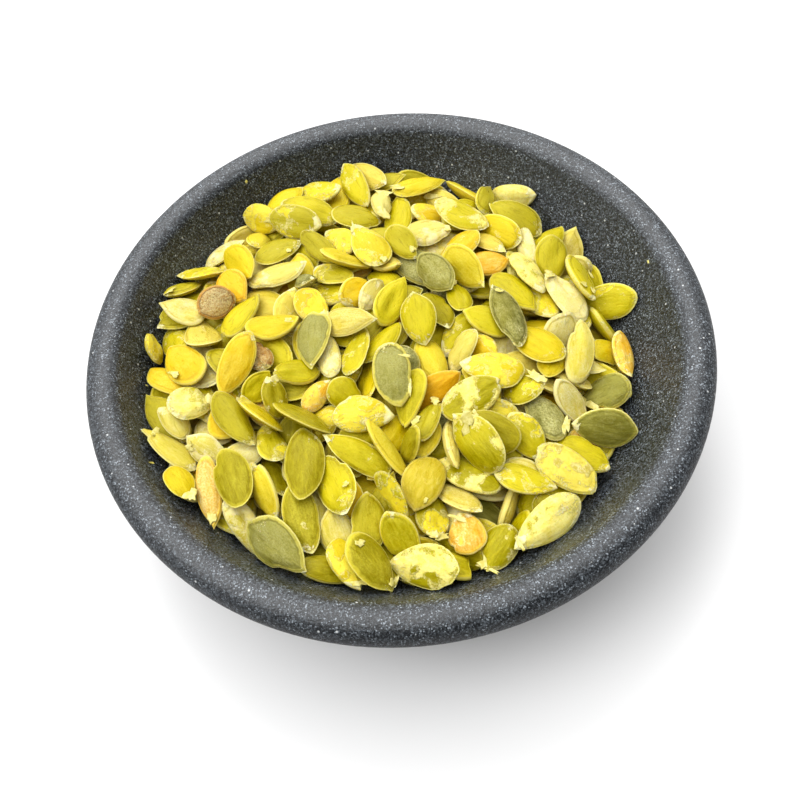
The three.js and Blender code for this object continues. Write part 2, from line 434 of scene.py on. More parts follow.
def lay(random, fixed, resting, rows):
    """Seeds put down one over the other where they lie on top, from just above the heap.

    Each row's seed starts clear of those before it. Gives the sizes, the poses and the kinds, by layer.
    """
    rows = sorted(rows, key=lambda row: row[-1])
    x, y, way, length, width, roll = np.array([row[1:-1] for row in rows], dtype=float).T
    width = LAY_WIDTH * width
    sizes = np.stack([length, width, np.clip(random.normal(SEED_THICKNESS, 0.2, len(rows)), 2, 3.1)], 1)
    way, roll = np.radians(way), np.radians(roll)
    half_height = width / 2 * np.abs(np.sin(roll)) + sizes[:, 2] / 2 + 0.25
    reach = np.maximum(width / 2 * np.cos(roll), sizes[:, 2] / 2)
    along = np.linspace(-0.3, 0.3, 3)[:, None] * length
    x, y = 0.925 * x - 1.6, 0.955 * y  # as they come to rest they shift a little outwards and to +X
    spots = np.stack([x + along * np.cos(way), y + along * np.sin(way)], -1)
    out = np.hypot(x, y) / wall_radius(HEAP_EDGE_HEIGHT, 0)
    z = heap_height(out, np.arctan2(y, x)) + LAY_GAP + half_height
    for i in range(1, len(rows)):
        apart = np.linalg.norm(spots[:, None, :i] - spots[None, :, i:i + 1], axis=-1).min((0, 1))
        under = apart < reach[:i] + reach[i] + 0.5
        z[i] = max([z[i], *(z[:i] + half_height[:i] + half_height[i])[under]])
    places = np.tile(np.eye(4), (len(rows), 1, 1))
    places[:, :3, 3] = np.stack([x, y, z], 1)
    places[:, :3, :3] = turned(way, np.zeros(len(rows)), roll)
    poses = settle(fixed, resting, sizes, places, LAY_FRAMES, LAY_DAMPING)
    return sizes, poses, [row[0] for row in rows]


def face_up(poses):
    """Turns each seed that came to rest on its face over about its own length."""
    over = np.where(poses[:, 2, 2] < 0, -1.0, 1.0)
    poses = poses.copy()
    poses[:, :3, 1] *= over[:, None]
    poses[:, :3, 2] *= over[:, None]
    return poses


def ring_points(above, below, around):
    """The points of a flat thing: a pole, rings out over its upper face, its edge, rings back and a pole.

    Gives each point's ring as a share of the way out, its side, which is 1, 0 at the edge or -1, and its
    direction from the middle.
    """
    shares = np.concatenate([above, [1.0], below])
    sides = np.concatenate([np.ones(len(above)), [0.0], -np.ones(len(below))])
    step = np.linspace(0, 2 * np.pi, around, endpoint=False)
    r = np.concatenate([[0], np.repeat(shares, around), [0]])
    side = np.concatenate([[1], np.repeat(sides, around), [-1]])
    angle = np.concatenate([[0], np.tile(step, len(shares)), [0]])
    return r, side, angle


def shape_seeds(random, sizes, poses, tones):
    """Points and attributes of seeds, all as whole arrays: seeds by points.

    A seed's mesh is rings round its middle, above and below. A point is its outline drawn in by its ring's
    share r, and its height is half the thickness times the square root of 1 - r^p, where p from 1.7 to 2.8
    makes the faces flatter. The body ends a little inside the outline, which is a thin keel. A low ridge
    runs round the upper face at r = 0.9, inside it a groove. Long waves, folds, a dent, a bend and a twist
    are added, and the outline wavers and has a nick, a torn end or an end broken off.
    """
    count = len(sizes)
    r, side, angle = ring_points(RINGS_ABOVE, RINGS_BELOW, AROUND)
    draw = lambda low, high: random.uniform(low, high, (count, 1))
    some = lambda part: (random.random((count, 1)) < part).astype(float)
    length, width, thickness = (sizes[:, i, None] for i in range(3))

    waver = 1 + 0.022 * np.sin(3 * angle + draw(0, 6.3)) + 0.014 * np.sin(5 * angle + draw(0, 6.3))
    nick = some(0.35) * draw(0.05, 0.2)
    waver = waver - nick * np.exp(-(((angle - draw(0.5, 5.8)) / 0.16) ** 2))
    torn = some(0.3) * draw(0.04, 0.14)
    waver = waver - torn * np.exp(-((np.sin(angle / 2) / 0.16) ** 2)) * (1 + 0.5 * np.sin(23 * angle))
    blunt = draw(0.0, 0.3) + some(0.25) * draw(0.2, 0.7)
    edge_x, edge_y = outline(angle, length, width, draw(0.04, 0.24), draw(0.4, 1.2), blunt)
    cut = np.where(some(0.04) > 0, draw(0.5, 0.85), 2.0)
    cosine = np.cos(angle - draw(-0.3, 0.3))
    waver = waver * np.where(cosine > cut, cut / np.maximum(cosine, 0.1), 1.0)
    x, y = edge_x * r * waver, edge_y * r * waver

    body_edge = 1 - some(0.75) * draw(0.025, 0.065)
    body = thickness / 2 * (1 - np.clip(r / body_edge, 0, 1) ** draw(1.7, 2.8)) ** 0.5
    keel = draw(0.1, 0.2) * (1 - r**12) ** 0.5
    z = side * np.maximum(body, keel)
    upper = (side > 0).astype(float)
    z = z + upper * some(0.5) * draw(0.03, 0.14) * np.exp(-(((r - 0.9) / 0.04) ** 2))
    z = z - upper * draw(0.0, 0.16) * np.exp(-(((r - 0.83) / 0.045) ** 2))

    u, v = x / length * 2, y / width * 2
    inner = np.clip(1.15 - r**3, 0, 1)
    waves = 0.15 * np.sin(draw(2, 4) * u + draw(0, 6.3)) * np.cos(draw(2, 5) * v + draw(0, 6.3))
    folds = some(0.5) * draw(0.03, 0.14) * np.sin((draw(5, 9) + 1.5 * u) * v + draw(0, 6.3))
    dent = some(0.4) * draw(-0.55, -0.15)
    dent = dent * np.exp(-(((u - draw(-0.5, 0.5)) / 0.35) ** 2) - (((v - draw(-0.4, 0.4)) / 0.4) ** 2))
    z = z + inner * (waves + folds * upper + dent * upper)
    z = z + random.normal(0, 0.42, (count, 1)) * (u**2 - 0.3)
    z = z + random.normal(0, 0.2, (count, 1)) * (v**2 - 0.3)
    z = z + random.normal(0, 0.3, (count, 1)) * u * v
    z = z + some(0.3) * draw(0.3, 1.2) * np.clip((u - 0.55) / 0.45, 0, 1) ** 2
    y = y + random.normal(0, 0.3, (count, 1)) * u**2

    local = np.stack([x, y, z], -1)
    world = np.einsum("nij,nvj->nvi", poses[:, :3, :3], local) + poses[:, None, :3, 3]
    grain = local + random.uniform(-GRAIN_REACH, GRAIN_REACH, (count, 1, 3))
    spot = np.stack([u, side * np.ones_like(u), r * np.ones_like(u)], -1)
    tone = np.repeat(tones[:, None], r.size, 1)
    return world, grain, spot, tone


def make_seeds(name, finish, shaped, chosen):
    """One piece with all the seeds of one kind."""
    world, grain, spot, tone = (part[chosen] for part in shaped)
    mesh = make_copies(name, world, len(RINGS_ABOVE) + 1 + len(RINGS_BELOW), AROUND)
    give(mesh, "grain", grain)
    give(mesh, "spot", spot)
    give(mesh, "tone", tone)
    add_piece(name, mesh, finish, "seed_heap")


def make_flakes(random, finish, sizes, poses, count, on_wall):
    """Torn bits of skin, stuck by one side to the ends and edges of seeds, and a few specks on the wall.

    A bit is rings round its middle, above and below. A point lies half the length times the cosine along
    and half the width times the sine across, both times its ring's share and 1 plus four sines of the
    direction. The two faces are 0.12 apart and curl with the squares of the shares along and across.
    """
    r, side, angle = ring_points(FLAKE_RINGS, FLAKE_RINGS[::-1], FLAKE_AROUND)
    total = count + len(on_wall)
    draw = lambda low, high: random.uniform(low, high, (total, 1))
    small = np.where(np.arange(total) < count, 1.0, SPECK_SIZE)[:, None]
    length, width = draw(1.2, 2.3) ** 2 * small, draw(0.9, 1.7) ** 2 * small
    reach = 1 + sum(draw(0.06, 0.26) * np.sin(n * angle + draw(0, 6.3)) for n in (2, 3, 5, 6))
    x, y = length / 2 * np.cos(angle) * r * reach, width / 2 * np.sin(angle) * r * reach
    curl = draw(-0.25, 0.25) * (x / length * 2) ** 2 + draw(-0.2, 0.15) * (y / width * 2) ** 2
    local = np.stack([x, y, 0.06 * side + small * curl], -1)

    upright = poses[:, 2, 2].clip(0.05)
    host = random.choice(len(sizes), count, p=upright / upright.sum())
    at_end = random.random(count) < 0.5
    way = np.where(at_end, random.normal(0, 0.35, count), random.uniform(0, 2 * np.pi, count))
    out = random.uniform(0.62, 0.97, count)
    edge_x, edge_y = outline(way, sizes[host, 0], sizes[host, 1])
    height = sizes[host, 2] / 2 * (1 - out**3) ** 0.5 + 0.12
    spot = np.stack([edge_x * out, edge_y * out, height], 1)
    yaw = way + random.normal(1.57, 0.7, count)
    pitch = random.normal(0, 0.15, count)
    roll = random.normal(0, 0.2, count)
    matrices = poses[host, :3, :3] @ turned(yaw, pitch, roll)
    places = np.einsum("nij,nj->ni", poses[host, :3, :3], spot) + poses[host, :3, 3]

    wall = np.array(on_wall, dtype=float)
    radius, direction = np.hypot(*wall.T), np.arctan2(wall[:, 1], wall[:, 0])
    section = inside_section()[::-1]
    wall_height = np.interp(radius, section[:, 0], section[:, 1]) + 0.1
    lean = turned(direction, np.full(len(wall), -math.radians(WALL_SLOPE - 8)), np.zeros(len(wall)))
    matrices = np.concatenate([matrices, lean])
    places = np.concatenate([places, np.stack([wall[:, 0], wall[:, 1], wall_height], 1)])
    world = np.einsum("nij,nvj->nvi", matrices, local) + places[:, None]

    mesh = make_copies("skin_flakes", world, 2 * len(FLAKE_RINGS) + 1, FLAKE_AROUND)
    give(mesh, "grain", local + random.uniform(-GRAIN_REACH, GRAIN_REACH, (total, 1, 3)))
    add_piece("skin_flakes", mesh, finish, "seed_heap")


# ---------- finishes
class Nodes:
    """A tree of shader nodes being filled: each call adds one node and gives its output."""

    def __init__(self, tree):
        self.tree = tree

    def feed(self, socket, value):
        """Links another node's output to a socket, or sets the socket's own value."""
        if isinstance(value, bpy.types.NodeSocket):
            self.tree.links.new(value, socket)
        elif isinstance(value, tuple) and len(value) == 3 and socket.type == "RGBA":
            socket.default_value = (*value, 1)
        else:
            socket.default_value = value

    def add(self, kind, output, inputs=(), **settings):
        """Any node, with its inputs by name or number."""
        node = self.tree.nodes.new("ShaderNode" + kind)
        for name, value in settings.items():
            setattr(node, name, value)
        for name, value in dict(inputs).items():
            self.feed(node.inputs[name], value)
        return node.outputs[output]

    def millimetres(self):
        """Place on the piece."""
        return self.vector("MULTIPLY", self.add("TexCoord", "Object"), (1 / MM,) * 3)

    def attribute(self, name):
        """Three numbers that the mesh holds for each point."""
        return self.add("Attribute", "Vector", attribute_name=name)

    def split(self, vector):
        """The three parts of a vector."""
        return self.add("SeparateXYZ", 0, {0: vector}).node.outputs

    def vector(self, operation, a, b):
        """A vector worked out from two."""
        return self.add("VectorMath", 0, {0: a, 1: b}, operation=operation)

    def noise(self, place, scale, detail=3.0, roughness=0.55, distortion=0.0):
        """Cloudy noise from 0 to 1."""
        inputs = {"Vector": place, "Scale": scale, "Detail": detail, "Roughness": roughness}
        return self.add("TexNoise", "Fac", {**inputs, "Distortion": distortion})

    def cells(self, place, scale):
        """Distance to the nearest of many scattered points."""
        return self.add("TexVoronoi", "Distance", {"Vector": place, "Scale": scale})

    def sum(self, operation, a, b=0.0, c=0.0):
        """A number worked out from up to three."""
        return self.add("Math", 0, {0: a, 1: b, 2: c}, operation=operation)

    def times(self, a, b):
        """a times b."""
        return self.sum("MULTIPLY", a, b)

    def blend(self, start, *parts):
        """A start and a share of each part: the parts are pairs of a value and its share."""
        for value, share in parts:
            start = self.sum("MULTIPLY_ADD", value, share, start)
        return start

    def step(self, value, low, high, start=0.0, end=1.0):
        """Rises smoothly from start to end as the value goes from low to high."""
        inputs = {"Value": value, "From Min": low, "From Max": high, "To Min": start, "To Max": end}
        return self.add("MapRange", "Result", inputs, interpolation_type="SMOOTHSTEP")

    def mix(self, factor, a, b):
        """From colour a to colour b by a factor."""
        return self.add("Mix", 2, {0: factor, 6: a, 7: b}, data_type="RGBA")

    def bump(self, height, depth):
        """A normal that follows a height from 0 to 1, of a depth in millimetres."""
        return self.add("Bump", "Normal", {"Height": height, "Distance": depth * MM})


class Finish(Nodes):
    """A material being made from nodes."""

    def __init__(self, name):
        self.material = bpy.data.materials.new(name)
        self.material.use_nodes = True
        super().__init__(self.material.node_tree)

    def finish(self, **values):
        """Sets the shader's inputs, named with _ for a space, and gives the material."""
        shader = self.tree.nodes["Principled BSDF"]
        for name, value in values.items():
            self.feed(shader.inputs[name.replace("_", " ")], value)
        return self.material


def stoneware_finish():
    """Satin charcoal, dense with fine pale grit and a few larger specks, on a slightly pebbled surface."""
    f = Finish("speckled_stoneware")
    place = f.millimetres()
    cloud = f.noise(place, 0.06, 3)
    grit = f.noise(place, 2.1, 3, 0.8)
    base = f.mix(f.step(cloud, 0.3, 0.7), (0.003, 0.005, 0.007), (0.007, 0.009, 0.012))
    base = f.mix(f.step(grit, 0.49, 0.67, 0.0, 0.9), base, (0.145, 0.168, 0.19))
    fine = f.cells(place, 2.0)
    fine_size = f.step(f.noise(place, 0.9, 2), 0.36, 0.68, 0.14, 0.38)
    base = f.mix(f.step(f.sum("SUBTRACT", fine, fine_size), 0.02, -0.1, 0.0, 0.9), base, (0.3, 0.34, 0.38))
    coarse = f.cells(f.vector("ADD", place, (40.0, 7.0, 13.0)), 0.3)
    base = f.mix(f.step(coarse, 0.085, 0.06, 0.0, 0.9), base, (0.6, 0.62, 0.62))
    pebble = f.blend(0.0, (f.noise(place, 0.8, 2), 0.6), (grit, 0.8))
    return f.finish(
        Base_Color=base,
        Roughness=f.step(grit, 0.3, 0.7, 0.24, 0.34),
        IOR=1.6,
        Specular_IOR_Level=0.5,
        Normal=f.bump(pebble, 0.2),
    )


def skin_finish(name, peeled, filmy, crumple, dark, light, edge, flesh, film):
    """A seed's skin and what shows where it has come off.

    peeled and filmy are how much of each seed is bare and how much has a dry film, from 0 to 1. crumple is
    how deep its fine wrinkles are. dark and light are the skin's colours on the face and edge its colour
    round the side, flesh is the kernel's colour where the skin is gone, and film that of the film. The mesh
    gives each point its place in the pattern (grain), its place on the seed (spot: along, 1 above or -1
    below, and the share of the way out) and numbers of the seed's own (tone). The first tone also holds
    painted light: it is higher towards the far side of the heap and lower towards the near side.
    """
    f = Finish(name)
    grain = f.attribute("grain")
    end, side, ring = f.split(f.attribute("spot"))
    tone = f.split(f.attribute("tone"))
    streaks = f.noise(f.vector("MULTIPLY", grain, (0.3, 1.2, 1.2)), 1.0, 4, 0.65, 0.5)
    clouds = f.noise(grain, 0.15, 2, 0.5, 0.6)
    broad = f.noise(grain, 0.08, 1, 0.5, 0.3)
    mottle = f.noise(grain, 0.6, 5, 0.65, 0.4)
    fine = f.noise(grain, 2.6, 3, 0.7)
    ragged = f.blend(ring, (f.sum("SUBTRACT", mottle, 0.5), 0.2))
    up = f.sum("GREATER_THAN", side, 0.3)
    darker = tuple(share * channel for share, channel in zip((0.76, 0.69, 0.4), dark))
    paler = tuple(channel + 0.12 * (1 - channel) * share for channel, share in zip(light, (1, 1, 0.15)))

    # The first tone holds painted light as well as each seed's own tone: far seeds lean to the light
    # colour, near ones to the dark.
    shade = f.blend(0.0, (broad, 1.9), (mottle, 0.35), (tone[0], 0.6))
    skin = f.mix(f.step(shade, 0.95, 1.95), dark, light)
    skin = f.mix(f.step(streaks, 0.45, 0.7, 0.0, 0.5), skin, light)
    skin = f.mix(f.step(streaks, 0.46, 0.28, 0.0, 0.55), skin, darker)
    skin = f.mix(f.step(fine, 0.55, 0.72, 0.0, 0.4), skin, paler)
    skin = f.mix(f.step(fine, 0.44, 0.26, 0.0, 0.4), skin, darker)

    film_value = f.blend(0.0, (streaks, 0.35), (mottle, 0.5), (clouds, 0.55))
    film_value = f.sum("ADD", film_value, f.blend(0.3 * filmy, (tone[2], 0.4)))
    film_cover = f.step(film_value, 0.9, 1.3, 0.0, 0.85)
    skin = f.mix(f.times(film_cover, f.step(fine, 0.35, 0.62, 0.25, 0.95)), skin, film)

    # Painted shade: a thin darker line in the groove inside the rim, on the upper face, its strength
    # varying with the clouds.
    line = f.times(f.times(f.step(ragged, 0.78, 0.83), f.step(ragged, 0.9, 0.85)), up)
    skin = f.mix(f.times(line, f.step(clouds, 0.4, 0.6, 0.15, 0.7)), skin, darker)
    rim = f.times(f.step(ragged, 0.82, 0.95), f.step(tone[2], 0.1, 0.9, 0.1, 0.9))
    skin = f.mix(rim, skin, edge)
    keel = f.step(f.blend(ring, (mottle, 0.03)), 0.955, 0.975)
    keel = f.times(keel, f.step(fine, 0.35, 0.5, 0.35, 0.9))
    keel = f.times(keel, f.step(tone[1], 0.1, 0.8, 0.5, 1.0))
    skin = f.mix(keel, skin, tuple(0.35 * a + 0.65 * b for a, b in zip(edge, (0.8, 0.73, 0.3))))

    bare_value = f.blend(0.0, (fine, 0.07), (mottle, 0.22), (clouds, 0.75), (f.step(end, 0.3, 1.0), 0.12))
    bare_value = f.sum("ADD", bare_value, f.blend(0.4 * peeled + 0.1, (tone[1], 0.35)))
    bare = f.step(bare_value, 1.0, 1.04)
    pale = f.mix(f.step(mottle, 0.4, 0.65), (0.74, 0.65, 0.2), (0.84, 0.79, 0.46))
    flesh_dark = tuple(a * b for a, b in zip(flesh, (0.9, 0.84, 0.5)))
    bare_colour = f.mix(f.step(mottle, 0.35, 0.65), flesh_dark, flesh)
    bare_colour = f.mix(f.step(fine, 0.44, 0.34, 0.0, 0.5), bare_colour, light)
    colour = f.mix(bare, skin, bare_colour)
    rim_of_skin = f.times(f.step(bare_value, 0.975, 0.995), f.step(bare_value, 1.03, 1.005))
    colour = f.mix(f.times(rim_of_skin, f.step(fine, 0.4, 0.6, 0.1, 0.6)), colour, pale)

    tip = f.step(f.blend(end, (f.sum("SUBTRACT", mottle, 0.5), 0.9), (tone[1], 0.5)), 1.12, 1.2)
    colour = f.mix(f.times(tip, 0.85), colour, pale)
    flakes = f.blend(0.0, (clouds, 0.5), (streaks, 0.25), (fine, 0.35), (tone[1], 0.08))
    flakes = f.blend(flakes, (f.times(end, end), 0.1), (f.step(ragged, 0.8, 0.95), 0.05))
    flakes = f.step(flakes, 0.74, 0.78)
    colour = f.mix(f.times(flakes, 0.75), colour, pale)

    height = f.blend(0.0, (fine, 0.25), (mottle, 0.5), (streaks, 0.7), (bare, -0.5))
    height = f.blend(height, (f.sum("MAXIMUM", flakes, tip), 0.6))
    return f.finish(
        Base_Color=colour,
        Roughness=f.blend(f.step(streaks, 0.3, 0.7, 0.24, 0.38), (film_cover, 0.2)),
        IOR=1.45,
        Specular_IOR_Level=0.5,
        Specular_Tint=(1.0, 0.93, 0.25, 1.0),
        Subsurface_Weight=0.2,
        Subsurface_Radius=(1.0, 0.65, 0.12),
        Subsurface_Scale=1.2 * MM,
        Normal=f.bump(height, crumple),
    )


def flake_finish():
    """Dry, pale bits of torn skin."""
    f = Finish("skin_flakes")
    grain = f.attribute("grain")
    mottle = f.noise(grain, 0.9, 4, 0.6)
    fine = f.noise(grain, 3.0, 3, 0.65)
    colour = f.mix(f.step(mottle, 0.35, 0.65), (0.6, 0.51, 0.09), (0.78, 0.71, 0.26))
    colour = f.mix(f.step(fine, 0.42, 0.3, 0.0, 0.5), colour, (0.46, 0.38, 0.08))
    rough = f.step(fine, 0.3, 0.7, 0.45, 0.7)
    return f.finish(Base_Color=colour, Roughness=rough, Normal=f.bump(mottle, 0.15))


def core_finish():
    """The underlayer of the heap, coloured as seeds in shade."""
    f = Finish("heap_underlayer")
    lumps = f.noise(f.millimetres(), 0.16, 3, 0.6, 0.6)
    colour = f.mix(f.step(lumps, 0.35, 0.65), (0.26, 0.17, 0.008), (0.5, 0.38, 0.03))
    rough = f.step(lumps, 0.3, 0.7, 0.5, 0.8)
    return f.finish(Base_Color=colour, Roughness=rough, Normal=f.bump(lumps, 1.2))


# ---------- kinds of seed and heap
# Kinds of seed: share of the hidden ones, how peeled and filmy they are, how deep their wrinkles are, and
# the colours of the skin's dark and light parts, its edge, the flesh and the film
KINDS = {
    "olive": (0.24, 0.0, 0.15, 0.2, (0.266, 0.216, 0.0), (0.456, 0.38, 0.011),
              (0.631, 0.532, 0.036), (0.734, 0.616, 0.032), (0.502, 0.439, 0.036)),
    "green": (0.27, 0.1, 0.1, 0.2, (0.394, 0.325, 0.0), (0.598, 0.5, 0.009),
              (0.673, 0.563, 0.03), (0.776, 0.647, 0.032), (0.597, 0.522, 0.034)),
    "yellow": (0.2, 0.15, 0.2, 0.2, (0.538, 0.405, 0.0), (0.676, 0.526, 0.012),
               (0.758, 0.619, 0.055), (0.793, 0.668, 0.064), (0.697, 0.592, 0.07)),
    "gold": (0.05, 0.1, 0.15, 0.2, (0.585, 0.371, 0.0), (0.685, 0.469, 0.005),
             (0.78, 0.598, 0.044), (0.817, 0.668, 0.048), (0.717, 0.571, 0.07)),
    "cream": (0.09, 0.3, 0.4, 0.2, (0.56, 0.463, 0.048), (0.706, 0.608, 0.172),
              (0.781, 0.701, 0.327), (0.792, 0.714, 0.356), (0.74, 0.682, 0.36)),
    "tan": (0.1, 0.15, 0.35, 0.22, (0.477, 0.364, 0.011), (0.675, 0.546, 0.086),
            (0.762, 0.638, 0.165), (0.797, 0.678, 0.115), (0.675, 0.593, 0.218)),
    "amber": (0.02, 0.15, 0.4, 0.2, (0.585, 0.289, 0.002), (0.844, 0.502, 0.022),
              (0.825, 0.553, 0.055), (0.839, 0.637, 0.106), (0.8, 0.68, 0.28)),
    "brown": (0.0, 0.0, 0.85, 0.7, (0.14, 0.035, 0.002), (0.6, 0.25, 0.01),
              (0.5, 0.213, 0.018), (0.587, 0.37, 0.118), (0.7, 0.6, 0.3)),
    "patchy": (0.03, 0.42, 0.3, 0.2, (0.304, 0.255, 0.0), (0.519, 0.431, 0.005),
               (0.717, 0.606, 0.069), (0.828, 0.744, 0.241), (0.64, 0.574, 0.099)),
    "sage": (0.03, 0.0, 0.5, 0.2, (0.15, 0.138, 0.016), (0.27, 0.25, 0.045),
             (0.652, 0.563, 0.087), (0.692, 0.616, 0.176), (0.36, 0.34, 0.12)),
    "dusky": (0.03, 0.0, 0.8, 0.2, (0.07, 0.068, 0.008), (0.211, 0.188, 0.024),
              (0.413, 0.362, 0.063), (0.587, 0.534, 0.235), (0.513, 0.491, 0.202)),
}

